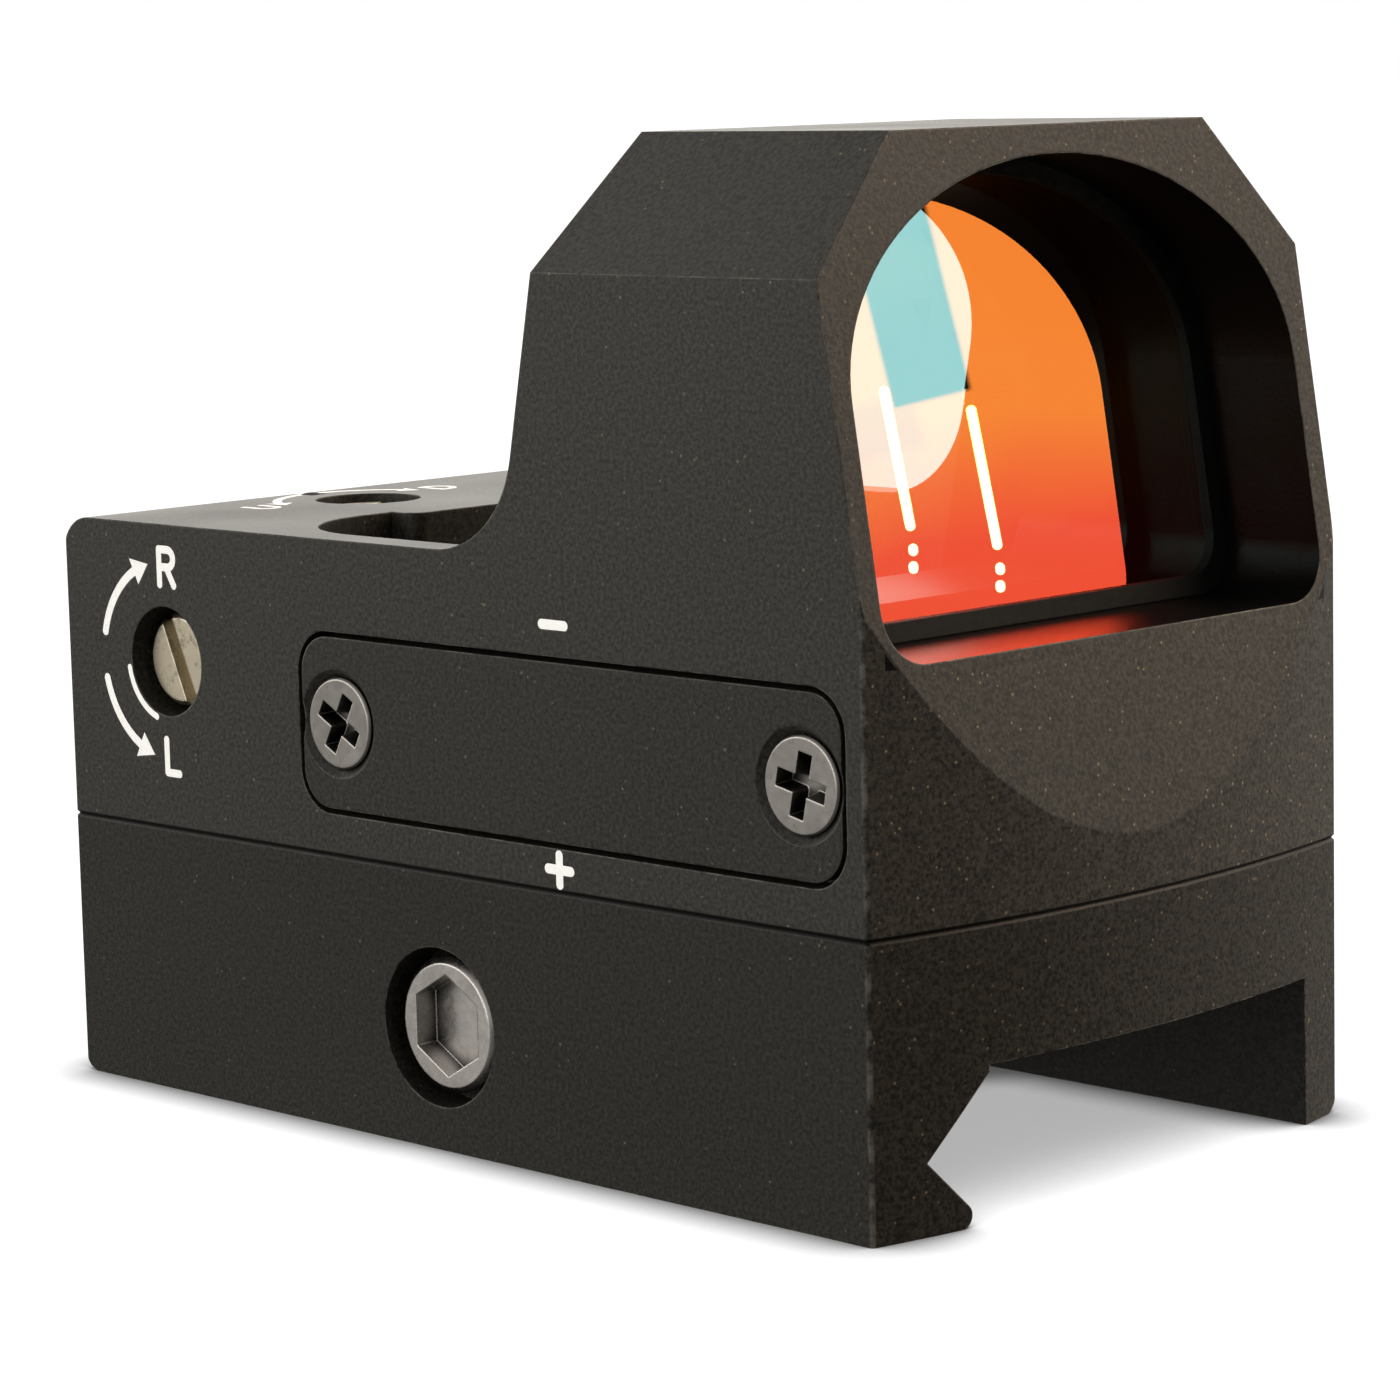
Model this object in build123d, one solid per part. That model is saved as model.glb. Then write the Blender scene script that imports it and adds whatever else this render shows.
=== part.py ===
from build123d import *
import math
import os

# Open reflex sight ("red dot finder") on a cross-bolt rail mount. Millimetres.
# +Z up, -Y is the front (objective) end, -X the side with the battery cover.
# The origin is the centre of the footprint, on the plane of the mount's feet.

# ---- driving dimensions -------------------------------------------------------------
WIDTH = 30.0
SIDE_LENGTH = 50.2            # straight length of one side
FRONT_BULGE = 1.65            # how far the curved front stands out at the middle
HEIGHT = 43.4
SEAM_Z = 12.2                 # top of the mount, underside of the housing
DECK_Z = 26.1
SHOULDER_Z = 37.85            # where the hood's side turns into its big chamfer
SHOULDER_DX = 5.2
FRONT_SLOPE = 0.16            # hood front: mm back for each mm up
SLOPE_START_Z = 25.06         # height at which the sloping front meets the corners
EDGE_R = 0.25
SEAM_EDGE = 0.12              # broken edge on both sides of the seam

HALF_W = WIDTH / 2
REAR_Y = (SIDE_LENGTH + FRONT_BULGE) / 2
CORNER_Y = REAR_Y - SIDE_LENGTH      # front vertical corners
TIP_Y = CORNER_Y - FRONT_BULGE       # middle of the curved front

# hood tunnel and lens
TUNNEL_HALF = 13.9
TUNNEL_FLOOR = 22.8
ARCH_Z = 33.0
ARCH_RISE = 9.2
TUNNEL_CORNER_R = 2.3
LENS_LEDGE = 0.8              # the tunnel behind the lens is smaller by this
LENS_FRONT = 5.5              # distances behind the sloping front, along Y
LENS_BACK = 9.9
COATING_DEPTH = 6.3
COATING_R = 62.0
LENS_MID_Z = 32.5
LENS_GAP = 0.05
HOOD_REAR = [(-3.8, DECK_Z), (-6.175, SHOULDER_Z), (-7.575, HEIGHT)]
DECK_FILLET = 5.0
DECK_REAR_R = 1.8

# pit in the deck, between hood and emitter
PIT_HALF = 13.2
PIT_FRONT_Y = -8.0
PIT_REAR_Y = 13.7
PIT_FLOOR = 20.8
PIT_CORNER_R = 6.0
BOSS_HALF = 5.5
BOSS_FRONT_Y = 12.2

# rear cavity with the adjusting mechanism, open to the mount below
CAVITY_HALF = 9.0
CAVITY_FRONT_Y = 14.9
CAVITY_REAR_Y = 24.3
CAVITY_TOP = 23.9

# adjusters
SCREW_R = 1.25
SCREW_RUNNING = 0.05
HEAD_R = 2.1
HEAD_BORE_R = 2.5
WINDAGE_Y = 18.675
WINDAGE_Z = 19.86
ELEVATION_X = -2.0
ELEVATION_Y = 19.4

# battery bay
BAY_Y = -6.935
BAY_HALF_Y = 11.7
BAY_Z0 = 15.4
BAY_Z1 = 19.7
BAY_END_X = 9.5
COVER_Z = 18.05
COVER_LENGTH = 32.75
COVER_HEIGHT = 8.05
COVER_R = 1.9
COVER_GAP = 0.25
COVER_THICKNESS = 1.5
COVER_SCREW_DY = 13.85
COVER_SINK_R = 2.4
COVER_HEAD_R = 2.02
CELL_R = 10.0
CELL_THICKNESS = 3.2
CELL_X = -2.6
CELL_Z = 15.95
CONTACT_WIDTH = 2.4
POSITIVE_X = -5.0
NEGATIVE_X = -0.2

# power switch, on the far side
BUTTON_Y = 9.8
BUTTON_Z = 16.6
BUTTON_R = 2.4
BUTTON_BORE_R = 3.7

# mount
ROOF_Z = 6.5
LEG_APEX_X = -12.33
LEG_APEX_Z = 3.0
TOE_R = 0.55
FOOT_R = 1.05
RIGHT_LEG_X = 12.0
CLAMP_Y = 0.9
CLAMP_Z = 5.4
CLAMP_R = 1.95
CLAMP_HEAD_R = 3.0
CLAMP_BORE_R = 3.5
CLAMP_BORE_DEPTH = 1.95
JAW_HALF_Y = 8.0
JAW_BACK_X = 10.8
RAIL_EDGE_X = 8.87            # right edge of a 21.2 mm rail held in the left jaw
BASE_SCREW_X = 5.5
BASE_SCREW_YS = (-20.3, 12.0)

MARK_DEPTH = 0.1
MARK_WIDTH = 0.42


# ---- small helpers ------------------------------------------------------------------
def block(x0, x1, y0, y1, z0, z1):
    return Pos((x0 + x1) / 2, (y0 + y1) / 2, (z0 + z1) / 2) * Box(x1 - x0, y1 - y0, z1 - z0)


def rod_x(r, x0, x1, y, z):
    return Pos((x0 + x1) / 2, y, z) * Rot(0, 90, 0) * Cylinder(r, x1 - x0)


def rod_y(r, y0, y1, x, z):
    return Pos(x, (y0 + y1) / 2, z) * Rot(90, 0, 0) * Cylinder(r, y1 - y0)


def rod_z(r, z0, z1, x, y):
    return Pos(x, y, (z0 + z1) / 2) * Cylinder(r, z1 - z0)


def ring_x(r_out, r_in, x0, x1, y, z):
    return rod_x(r_out, x0, x1, y, z) - rod_x(r_in, x0 - 1, x1 + 1, y, z)


def slope_y(z):
    """Y of the sloping hood front at height z."""
    return CORNER_Y + FRONT_SLOPE * (z - SLOPE_START_Z)


def side_profile(points, x0, x1):
    """A (Y, Z) outline swept across X."""
    face = make_face(Polyline(*points, close=True))
    return Pos(x0, 0, 0) * extrude(Plane.YZ * face, amount=x1 - x0)


def sloping_slab(d0, d1):
    """All of the tunnel between two planes parallel to the hood front."""
    z0 = PIT_FLOOR - 3
    z1 = HEIGHT + 3
    points = [(slope_y(z0) + d0, z0), (slope_y(z0) + d1, z0)]
    points += [(slope_y(z1) + d1, z1), (slope_y(z1) + d0, z1)]
    return side_profile(points, -HALF_W - 1, HALF_W + 1)


def d_outline(shrink):
    """Arch-topped outline in X-Z, smaller all round by shrink."""
    half = TUNNEL_HALF - shrink
    rise = ARCH_RISE - shrink
    floor = TUNNEL_FLOOR + shrink
    r = TUNNEL_CORNER_R - shrink / 2
    arch = EllipticalCenterArc((0, ARCH_Z), half, rise, start_angle=0, arc_size=180)
    left = Line((-half, ARCH_Z), (-half, floor + r))
    left_round = RadiusArc((-half, floor + r), (-half + r, floor), -r)
    bottom = Line((-half + r, floor), (half - r, floor))
    right_round = RadiusArc((half - r, floor), (half, floor + r), -r)
    right = Line((half, floor + r), (half, ARCH_Z))
    return make_face([arch, left, left_round, bottom, right_round, right])


def d_prism(shrink, y0, y1):
    """The arch-topped outline swept along Y."""
    return Pos(0, y1, 0) * extrude(Plane.XZ * d_outline(shrink), amount=y1 - y0)


def plan_face():
    """Outline from above: straight sides and back, curved front."""
    front = ThreePointArc((-HALF_W, CORNER_Y), (0, TIP_Y), (HALF_W, CORNER_Y))
    right = Line((HALF_W, CORNER_Y), (HALF_W, REAR_Y))
    back = Line((HALF_W, REAR_Y), (-HALF_W, REAR_Y))
    left = Line((-HALF_W, REAR_Y), (-HALF_W, CORNER_Y))
    face = make_face([front, right, back, left])
    return fillet(face.vertices(), EDGE_R)


def hex_socket(depth, across_flats):
    return extrude(RegularPolygon(across_flats / math.sqrt(3), 6), amount=depth)


def save(name, shape):
    export_step(shape, f"parts/{name}.step")


# ---- painted marks, filled flush into shallow engraving -----------------------------
def strokes(lines, width=MARK_WIDTH):
    """Pen strokes with round ends, drawn flat."""
    face = Sketch()
    for line in lines:
        face += trace(line, width)
        face += Pos(line @ 0) * Circle(width / 2)
        face += Pos(line @ 1) * Circle(width / 2)
    return face


def letter_r():
    bowl = [Line((-0.5, 0.8), (0.1, 0.8)), RadiusArc((0.1, 0.8), (0.1, 0), 0.4), Line((0.1, 0), (-0.5, 0))]
    return strokes([Line((-0.5, -0.8), (-0.5, 0.8)), *bowl, Line((0, 0), (0.5, -0.8))], 0.36)


def letter_l():
    return strokes([Line((-0.4, 0.75), (-0.4, -0.75)), Line((-0.4, -0.75), (0.45, -0.75))], 0.36)


def letter_u():
    bend = RadiusArc((-0.5, -0.25), (0.5, -0.25), -0.5)
    return strokes([Line((-0.5, 0.8), (-0.5, -0.25)), bend, Line((0.5, -0.25), (0.5, 0.8))], 0.36)


def letter_d():
    bowl = RadiusArc((-0.2, 0.8), (-0.2, -0.8), 0.8)
    return strokes([Line((-0.5, 0.8), (-0.5, -0.8)), Line((-0.5, 0.8), (-0.2, 0.8)), bowl,
                    Line((-0.2, -0.8), (-0.5, -0.8))], 0.36)


def turn_arrow(radius, start, end):
    """A curved arrow about the origin, from start to end in degrees."""
    sweep = end - start
    arc = CenterArc((0, 0), radius, start, sweep)
    tip_turn = math.copysign(14, sweep)
    tip = Vector(radius, 0).rotate(Axis.Z, end + tip_turn)
    inner = Vector(radius - 0.65, 0).rotate(Axis.Z, end)
    outer = Vector(radius + 0.65, 0).rotate(Axis.Z, end)
    head = make_face(Polyline(inner, outer, tip, close=True))
    return strokes([arc]) + head


def on_left_side(face, y, z):
    """A flat mark laid into the -X face; local x runs forward, local y runs up."""
    plane = Plane(origin=(-HALF_W, y, z), x_dir=(0, -1, 0), z_dir=(-1, 0, 0))
    return extrude(plane * face, amount=-MARK_DEPTH)


def on_deck(face, x, y):
    """A flat mark laid into the deck, read from behind the sight."""
    plane = Plane(origin=(x, y, DECK_Z), x_dir=(1, 0, 0), z_dir=(0, 0, 1))
    return extrude(plane * face, amount=-MARK_DEPTH)


def windage_marks():
    rim = strokes([CenterArc((0, 0), HEAD_BORE_R + 0.22, 190, 62)], 0.3)
    dial = turn_arrow(4.5, 166, 118) + turn_arrow(4.5, 194, 242) + rim
    arrows = on_left_side(dial, WINDAGE_Y, WINDAGE_Z)
    letters = on_left_side(letter_r(), WINDAGE_Y - 0.25, WINDAGE_Z + 4.3)
    return arrows + letters + on_left_side(letter_l(), WINDAGE_Y - 0.2, WINDAGE_Z - 4.35)


def polarity_marks():
    minus = strokes([Line((-0.68, 0), (0.68, 0))])
    plus = minus + strokes([Line((0, -0.62), (0, 0.62))])
    return on_left_side(minus, BAY_Y, 23.4) + on_left_side(plus, BAY_Y, 13.15)


def elevation_marks():
    dial = turn_arrow(4.3, 100, 152) + turn_arrow(4.3, 80, 28)
    marks = on_deck(dial, ELEVATION_X, ELEVATION_Y)
    marks += on_deck(letter_u(), ELEVATION_X - 5.4, ELEVATION_Y + 1.2)
    return marks + on_deck(letter_d(), ELEVATION_X + 5.6, ELEVATION_Y + 1.2)


# ---- housing ------------------------------------------------------------------------
def outer_body():
    """Deck and hood as one block, before anything is cut into it."""
    base = extrude(plan_face(), amount=HEIGHT - SEAM_Z)
    body = Pos(0, 0, SEAM_Z) * chamfer(base.edges().group_by(Axis.Z)[0], SEAM_EDGE)
    front_low = (slope_y(SEAM_Z), SEAM_Z)
    front_high = (slope_y(HEIGHT), HEIGHT)
    outline = [front_low, front_high, HOOD_REAR[2], HOOD_REAR[1], HOOD_REAR[0]]
    outline += [(REAR_Y, DECK_Z), (REAR_Y, SEAM_Z)]
    side = make_face(Polyline(*outline, close=True))
    heel = side.vertices().sort_by_distance((HOOD_REAR[0][0], DECK_Z, 0))[0]
    side = fillet(heel, DECK_FILLET)
    tail = side.vertices().sort_by_distance((REAR_Y, DECK_Z, 0))[0]
    side = fillet(tail, DECK_REAR_R)
    body &= extrude(Plane.YZ * side, amount=HALF_W + 1, both=True)
    gable = [(-HALF_W, SEAM_Z), (-HALF_W, SHOULDER_Z), (-HALF_W + SHOULDER_DX, HEIGHT)]
    gable += [(HALF_W - SHOULDER_DX, HEIGHT), (HALF_W, SHOULDER_Z), (HALF_W, SEAM_Z)]
    section = make_face(Polyline(*gable, close=True))
    return body & extrude(Plane.XZ * section, amount=REAR_Y + 1, both=True)


def pit():
    """The open well behind the hood, around the emitter boss."""
    outline = Pos(0, (PIT_FRONT_Y + PIT_REAR_Y) / 2) * Rectangle(2 * PIT_HALF, PIT_REAR_Y - PIT_FRONT_Y)
    rear = outline.vertices().group_by(Axis.Y)[-1]
    outline = fillet(rear, PIT_CORNER_R)
    boss = Pos(0, (BOSS_FRONT_Y + REAR_Y) / 2) * Rectangle(2 * BOSS_HALF, REAR_Y - BOSS_FRONT_Y)
    outline -= fillet(boss.vertices(), 0.8)
    return Pos(0, 0, PIT_FLOOR) * extrude(outline, amount=DECK_Z + DECK_FILLET - PIT_FLOOR)


def emitter_port():
    """Light path through the boss, with a pocket for the window behind it."""
    port = block(-2.0, 2.0, BOSS_FRONT_Y - 1, CAVITY_FRONT_Y + 0.1, 20.9, 23.1)
    return port + block(-2.8, 2.8, 13.9, CAVITY_FRONT_Y + 0.1, 20.3, 23.7)


def battery_cuts():
    recess = Pos(0, BAY_Y, COVER_Z) * rounded_plate(COVER_LENGTH, COVER_HEIGHT, COVER_R, COVER_THICKNESS)
    bay = block(-HALF_W, BAY_END_X, BAY_Y - BAY_HALF_Y, BAY_Y + BAY_HALF_Y, BAY_Z0, BAY_Z1)
    cuts = recess + bay + seal_ring()
    for side in (-1, 1):
        cuts += rod_x(0.95, -HALF_W, -9.8, BAY_Y + side * COVER_SCREW_DY, COVER_Z)
    for x, z in ((POSITIVE_X, BAY_Z0), (NEGATIVE_X, BAY_Z1 - 0.6)):
        half = CONTACT_WIDTH / 2 + 0.2
        cuts += block(x - half, x + half, BAY_Y + BAY_HALF_Y - 0.1, CAVITY_FRONT_Y + 0.1, z, z + 0.6)
    return cuts


def rounded_plate(length, height, radius, thickness):
    """Rounded plate in Y-Z, its outer face on the -X side, centred on its own origin."""
    outline = Plane.YZ * RectangleRounded(length, height, radius)
    return Pos(-HALF_W, 0, 0) * extrude(outline, amount=thickness)


def seal_ring():
    outer = Plane.YZ * RectangleRounded(25.4, 6.3, 1.2)
    inner = Plane.YZ * RectangleRounded(24.2, 5.1, 0.8)
    ring = extrude(outer, amount=0.5) - extrude(inner, amount=0.5)
    return Pos(-HALF_W + COVER_THICKNESS, BAY_Y, (BAY_Z0 + BAY_Z1) / 2) * ring


def adjuster_bores():
    windage = rod_x(HEAD_BORE_R, -HALF_W, -12.4, WINDAGE_Y, WINDAGE_Z)
    windage += rod_x(SCREW_R + SCREW_RUNNING, -12.5, -8.9, WINDAGE_Y, WINDAGE_Z)
    elevation = rod_z(HEAD_BORE_R, 24.5, DECK_Z, ELEVATION_X, ELEVATION_Y)
    elevation += rod_z(SCREW_R + SCREW_RUNNING, 23.8, 24.6, ELEVATION_X, ELEVATION_Y)
    return windage + elevation


def switch_pocket():
    pocket = rod_x(BUTTON_BORE_R, 12.2, HALF_W, BUTTON_Y, BUTTON_Z)
    pocket += rod_x(0.7, 8.0, 12.3, BUTTON_Y, BUTTON_Z)
    return pocket + rod_y(0.7, BUTTON_Y, CAVITY_FRONT_Y + 0.1, 8.2, BUTTON_Z)


def base_screw_places():
    return [(x, y) for x in (-BASE_SCREW_X, BASE_SCREW_X) for y in BASE_SCREW_YS]


def dowel_places():
    return [(-11.5, -20.5), (11.5, 20.5)]


def housing(marks):
    body = outer_body()
    body -= d_prism(0, TIP_Y - 1, 2.0) & sloping_slab(-4, LENS_BACK)
    body -= d_prism(LENS_LEDGE, TIP_Y - 1, 2.0)
    body -= pit()
    cavity = block(-CAVITY_HALF, CAVITY_HALF, CAVITY_FRONT_Y, CAVITY_REAR_Y, SEAM_Z, CAVITY_TOP)
    body -= cavity + emitter_port()
    body -= battery_cuts()
    body -= adjuster_bores()
    body -= switch_pocket()
    for x, y in base_screw_places():
        body -= rod_z(1.5, SEAM_Z, 15.0, x, y)
    for x, y in dowel_places():
        body -= rod_z(1.0, SEAM_Z, 14.7, x, y)
    witness = Pos(ELEVATION_X, REAR_Y, DECK_Z) * Rot(0, 45, 0) * Box(0.7, 6.0, 0.7)
    body -= witness
    return body - marks


# ---- lens ---------------------------------------------------------------------------
def coating_ball():
    """The curved, coated surface between the two lens elements."""
    vertex_y = slope_y(LENS_MID_Z) + COATING_DEPTH
    tilt = math.atan(FRONT_SLOPE)
    centre = (0, vertex_y + COATING_R * math.cos(tilt), LENS_MID_Z - COATING_R * math.sin(tilt))
    return Pos(*centre) * Sphere(COATING_R)


def lens_elements():
    blank = d_prism(LENS_GAP, TIP_Y, 2.0) & sloping_slab(LENS_FRONT, LENS_BACK)
    ball = coating_ball()
    return blank - ball, blank & ball


def lens_seal():
    ring = d_prism(0.02, TIP_Y, 2.0) - d_prism(0.85, TIP_Y - 1, 3.0)
    return ring & sloping_slab(LENS_FRONT - 0.5, LENS_FRONT)


# ---- mount --------------------------------------------------------------------------
def channel_outline():
    """Front view of the rail channel, open at the bottom."""
    toe_x = LEG_APEX_X + LEG_APEX_Z
    return [(-9.1, ROOF_Z), (-9.1, 6.23), (LEG_APEX_X, LEG_APEX_Z), (toe_x + 1, -1), (RIGHT_LEG_X, -1),
            (RIGHT_LEG_X, ROOF_Z)]


def corner_trim(corner, first, second, radius):
    """What a round of this radius takes off a corner whose sides leave it along two unit vectors."""
    corner = Vector(*corner)
    first = Vector(*first).normalized()
    second = Vector(*second).normalized()
    middle = (first + second).normalized()
    half = math.radians(first.get_angle(second) / 2)
    reach = radius / math.tan(half)
    centre = corner + middle * (radius / math.sin(half))
    points = [corner + first * reach, centre, corner + second * reach, corner - middle * 0.3]
    kite = Polyline(*points, close=True)
    return make_face(kite) - Pos(centre.X, centre.Y) * Circle(radius)


def mount_base():
    body = extrude(plan_face(), amount=SEAM_Z)
    body = chamfer(body.edges().group_by(Axis.Z)[-1], SEAM_EDGE)
    channel = make_face(Polyline(*channel_outline(), close=True))
    body -= extrude(Plane.XZ * channel, amount=REAR_Y + 2, both=True)
    toe = corner_trim((LEG_APEX_X + LEG_APEX_Z, 0), (-1, 0), (-1, 1), TOE_R)
    foot = corner_trim((HALF_W, 0), (-1, 0), (0, 1), FOOT_R)
    heel = corner_trim((REAR_Y, 0), (-1, 0), (0, 1), FOOT_R)
    body -= extrude(Plane.XZ * toe, amount=REAR_Y + 2, both=True)
    body -= extrude(Plane.XZ * foot, amount=REAR_Y + 2, both=True)
    body -= extrude(Plane.YZ * heel, amount=HALF_W + 1, both=True)
    body -= rod_x(CLAMP_BORE_R, -HALF_W, -HALF_W + CLAMP_BORE_DEPTH, CLAMP_Y, CLAMP_Z)
    body -= rod_x(CLAMP_R + SCREW_RUNNING, -HALF_W + 1, -8.0, CLAMP_Y, CLAMP_Z)
    body -= rod_x(1.5 + SCREW_RUNNING, RIGHT_LEG_X - 0.1, 14.0, CLAMP_Y, CLAMP_Z)
    body -= rod_x(1.0, RIGHT_LEG_X - 0.1, 13.6, CLAMP_Y + 5.2, 3.4)
    body -= clamp_relief()
    for x, y in base_screw_places():
        body -= rod_z(1.6, ROOF_Z - 0.1, SEAM_Z + 0.1, x, y)
        body -= Pos(x, y, ROOF_Z + 0.85) * Cone(3.0, 1.3, 1.7)
    for x, y in dowel_places():
        body -= rod_z(1.0, 9.5, SEAM_Z + 0.1, x, y)
    return body - base_gasket()


def clamp_relief():
    """Half-round groove in the roof that clears the cross screw."""
    return rod_x(CLAMP_R + 0.15, -10.0, RIGHT_LEG_X, CLAMP_Y, CLAMP_Z)


def base_gasket():
    """Flat seal around the open bottom of the housing's rear cavity."""
    y_mid = (CAVITY_FRONT_Y + CAVITY_REAR_Y) / 2
    outer = RectangleRounded(2 * CAVITY_HALF + 2.4, CAVITY_REAR_Y - CAVITY_FRONT_Y + 2.4, 1.2)
    inner = RectangleRounded(2 * CAVITY_HALF + 0.6, CAVITY_REAR_Y - CAVITY_FRONT_Y + 0.6, 0.6)
    ring = extrude(outer, amount=0.4) - extrude(inner, amount=0.4)
    return Pos(0, y_mid, SEAM_Z - 0.4) * ring


def clamp_jaw():
    section = [(JAW_BACK_X, 0.5), (JAW_BACK_X, 6.45), (6.1, 6.45), (6.1, 6.05)]
    section += [(RAIL_EDGE_X + 0.15, LEG_APEX_Z + 0.13), (RAIL_EDGE_X + 0.15, LEG_APEX_Z - 0.13), (6.9, 0.75)]
    section += [(7.1, 0.5)]
    outline = make_face(Polyline(*section, close=True))
    body = Pos(0, CLAMP_Y, 0) * extrude(Plane.XZ * outline, amount=JAW_HALF_Y, both=True)
    body -= rod_x(CLAMP_R + SCREW_RUNNING, 5.0, 12.0, CLAMP_Y, CLAMP_Z)
    return body - rod_x(1.0 + SCREW_RUNNING, 8.9, 12.0, CLAMP_Y + 5.2, 3.4)


def clamp_screw():
    head_x = -HALF_W + 0.45
    head = rod_x(CLAMP_HEAD_R, head_x, -HALF_W + CLAMP_BORE_DEPTH - 0.02, CLAMP_Y, CLAMP_Z)
    head = chamfer(head.edges().group_by(Axis.X)[0], 0.3)
    shank = rod_x(CLAMP_R, -HALF_W + 1.2, 11.4, CLAMP_Y, CLAMP_Z)
    pilot = rod_x(1.5, 11.3, 13.6, CLAMP_Y, CLAMP_Z)
    socket = Pos(head_x - 0.1, CLAMP_Y, CLAMP_Z) * Rot(0, 90, 0) * hex_socket(1.25, 3.9)
    return head + shank + pilot - socket


def jaw_guide_pin():
    return rod_x(1.0, 10.2, 13.6, CLAMP_Y + 5.2, 3.4)


def base_screws():
    screws = []
    for x, y in base_screw_places():
        screw = Pos(x, y, ROOF_Z + 0.85) * Cone(2.95, 1.3, 1.7)
        screw += rod_z(1.5, ROOF_Z + 1.0, 14.8, x, y)
        screw -= Pos(x, y, ROOF_Z) * hex_socket(1.2, 2.0)
        screws.append(screw)
    return Compound(children=screws)


def base_dowels():
    return Compound(children=[rod_z(1.0, 9.6, 14.6, x, y) for x, y in dowel_places()])


# ---- battery drawer -----------------------------------------------------------------
def battery_cover():
    inset = 2 * COVER_GAP
    plate = rounded_plate(COVER_LENGTH - inset, COVER_HEIGHT - inset, COVER_R - COVER_GAP, COVER_THICKNESS)
    plate = Pos(0, BAY_Y, COVER_Z) * plate
    for side in (-1, 1):
        y = BAY_Y + side * COVER_SCREW_DY
        plate -= Pos(-HALF_W + 0.55, y, COVER_Z) * Rot(0, 90, 0) * Cone(COVER_SINK_R, 1.15, 1.1)
        plate -= rod_x(1.0, -HALF_W, -HALF_W + COVER_THICKNESS, y, COVER_Z)
    return plate


def cross_recess(depth, span, width):
    """Cross-shaped driver recess, cut into a face that looks along local -Z."""
    arm = Rectangle(span, width) + Rectangle(width, span)
    return extrude(arm, amount=depth, taper=12)


def cover_screws():
    screws = []
    head_x = -HALF_W + 0.08
    for side, turn in ((-1, 12), (1, 28)):
        y = BAY_Y + side * COVER_SCREW_DY
        rim = rod_x(COVER_HEAD_R, head_x, head_x + 0.2, y, COVER_Z)
        rim = chamfer(rim.edges().group_by(Axis.X)[0], 0.1)
        cone = Pos(head_x + 0.6, y, COVER_Z) * Rot(0, 90, 0) * Cone(COVER_HEAD_R, 0.95, 0.8)
        screw = rim + cone + rod_x(0.95, -HALF_W + 1.0, -10.0, y, COVER_Z)
        recess = cross_recess(0.8, 2.7, 0.78)
        screw -= Pos(head_x, y, COVER_Z) * Rot(0, 90, 0) * Rot(0, 0, turn) * recess
        screws.append(screw)
    return Compound(children=screws)


def battery_tray():
    y0 = BAY_Y - BAY_HALF_Y + 0.2
    y1 = BAY_Y + BAY_HALF_Y - 0.2
    body = block(-13.4, 9.2, y0, y1, BAY_Z0 + 0.2, BAY_Z1 - 0.2)
    body -= rod_z(CELL_R + 0.15, CELL_Z, BAY_Z1, CELL_X, BAY_Y)
    body -= rod_z(CELL_R - 0.8, BAY_Z0, BAY_Z1, CELL_X, BAY_Y)
    body -= block(-14.0, -12.0, BAY_Y - 3.0, BAY_Y + 3.0, BAY_Z0, BAY_Z0 + 1.2)
    return body - block(-6.6, -3.4, BAY_Y + 8, BAY_Y + 12, BAY_Z0, BAY_Z1)


def coin_cell_can():
    can = rod_z(CELL_R, CELL_Z, CELL_Z + CELL_THICKNESS - 0.3, CELL_X, BAY_Y)
    can = fillet(can.edges().group_by(Axis.Z)[0], 0.5)
    return can - rod_z(9.4, CELL_Z + 0.3, CELL_Z + CELL_THICKNESS, CELL_X, BAY_Y)


def coin_cell_gasket():
    outer = rod_z(9.4, CELL_Z + 0.3, CELL_Z + CELL_THICKNESS - 0.2, CELL_X, BAY_Y)
    return outer - rod_z(9.0, CELL_Z + 0.3, CELL_Z + CELL_THICKNESS, CELL_X, BAY_Y)


def coin_cell_cap():
    cap = rod_z(9.0, CELL_Z + 0.3, CELL_Z + CELL_THICKNESS, CELL_X, BAY_Y)
    return chamfer(cap.edges().group_by(Axis.Z)[-1], 0.4)


def contact_strip(x, z_strip, z_touch, z_board):
    """Leaf contact: a strip on the bay wall, a sprung finger on the cell, a leg to the board."""
    x0 = x - CONTACT_WIDTH / 2
    x1 = x + CONTACT_WIDTH / 2
    low = min(z_strip, z_touch)
    high = max(z_strip, z_touch)
    strip = block(x0, x1, BAY_Y - 6, 15.5, z_strip - 0.1, z_strip + 0.1)
    finger = block(x0 + 0.4, x1 - 0.4, BAY_Y - 6, BAY_Y - 4.5, low, high)
    leg = block(x0, x1, 15.3, 15.5, z_board, z_strip + 0.1)
    return strip + finger + leg


# ---- adjusting mechanism ------------------------------------------------------------
def slotted_head(length, slot_depth):
    """Screw head standing up from z = 0, with a wide driver slot and a broken edge."""
    head = Pos(0, 0, length / 2) * Cylinder(HEAD_R, length)
    head = chamfer(head.edges().group_by(Axis.Z)[-1], 0.2)
    slot = Pos(0, 0, length) * Box(2 * HEAD_R + 1, 0.75, 2 * slot_depth)
    return head - slot


def windage_screw():
    head = Pos(-13.0, WINDAGE_Y, WINDAGE_Z) * Rot(0, -90, 0) * Rot(0, 0, 24) * slotted_head(1.25, 0.75)
    shaft = rod_x(SCREW_R, -13.1, -6.4, WINDAGE_Y, WINDAGE_Z)
    shaft -= ring_x(SCREW_R + 1, SCREW_R - 0.35, -8.93, -8.55, WINDAGE_Y, WINDAGE_Z)
    return head + shaft


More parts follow.
